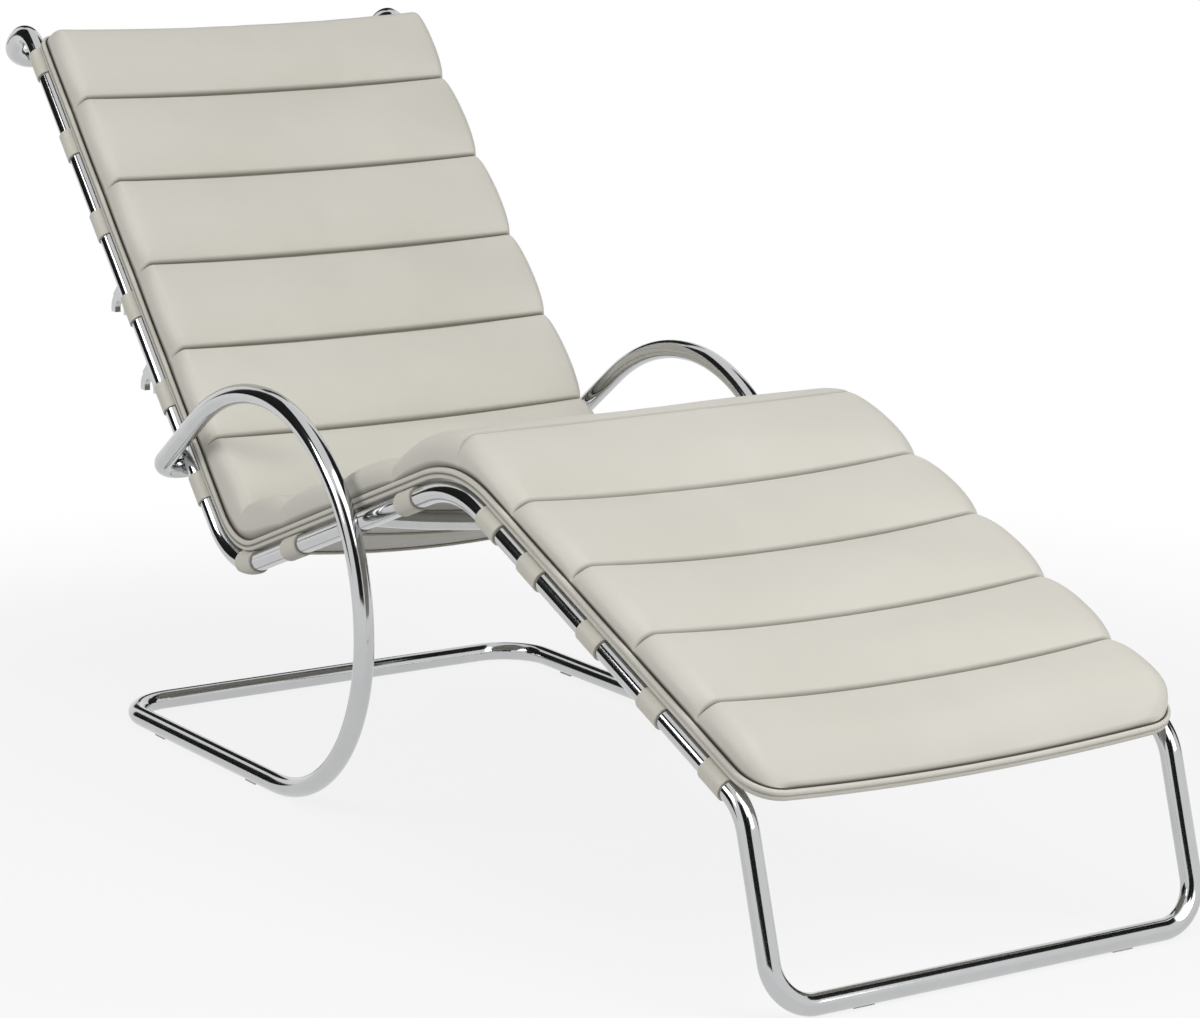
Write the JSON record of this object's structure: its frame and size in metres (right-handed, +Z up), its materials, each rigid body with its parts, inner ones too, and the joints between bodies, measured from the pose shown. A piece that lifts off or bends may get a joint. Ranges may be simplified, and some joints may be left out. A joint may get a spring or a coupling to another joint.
{
  "type": "lounge chair",
  "caption": "Reclining lounge chair: a bent tube lounge frame with straps and a pleated cushion hangs by hooks on a separate bent tube base with scrolled arms.",
  "frame": {"origin": "on the floor under the middle of the chair's length and width", "axes": "+X the way the sitter's feet point, +Y the sitter's left, +Z up"},
  "size_m": [1.9326, 0.6664, 0.9246],
  "materials": {
    "polished_tube": "mirror polished bent tube",
    "joint_steel": "turned steel inside the tube joints",
    "cushion_leather": "pale greige leather, soft, fine grain",
    "strap_leather": "pale greige strap leather with cut edges",
    "rivet_metal": "polished rivet heads",
    "glide_plastic": "pale plastic glides"
  },
  "bodies": {
    "base": {"base_frame_left": "polished_tube", "base_frame_right": "polished_tube", "base_glides": "glide_plastic", "cross_tube_spigot": "joint_steel", "floor_bar_spigot": "joint_steel"},
    "lounge": {"back_cushion": "cushion_leather", "back_strap_1": "strap_leather", "back_strap_2": "strap_leather", "back_strap_3": "strap_leather", "back_strap_4": "strap_leather", "back_strap_5": "strap_leather", "back_strap_6": "strap_leather", "back_strap_rivets": "rivet_metal", "foot_bar_spigot": "joint_steel", "foot_glides": "glide_plastic", "head_bar_spigot": "joint_steel", "leg_cushion": "cushion_leather", "leg_strap_1": "strap_leather", "leg_strap_2": "strap_leather", "leg_strap_3": "strap_leather", "leg_strap_4": "strap_leather", "leg_strap_5": "strap_leather", "leg_strap_rivets": "rivet_metal", "lounge_frame_left": "polished_tube", "lounge_frame_right": "polished_tube", "recline_hook_left_1": "polished_tube", "recline_hook_left_2": "polished_tube", "recline_hook_left_3": "polished_tube", "recline_hook_right_1": "polished_tube", "recline_hook_right_2": "polished_tube", "recline_hook_right_3": "polished_tube", "seat_cushion": "cushion_leather", "seat_spreader": "polished_tube", "seat_strap_1": "strap_leather", "seat_strap_2": "strap_leather", "seat_strap_3": "strap_leather", "seat_strap_4": "strap_leather", "seat_strap_rivets": "rivet_metal"}
  },
  "joints": [
    {"name": "lift", "type": "hinge", "parent": "base", "child": "lounge", "pos_m": [0.95362, 0, 0.0137], "axis": [0, 1, 0], "range_deg": [0, 15]}
  ]
}
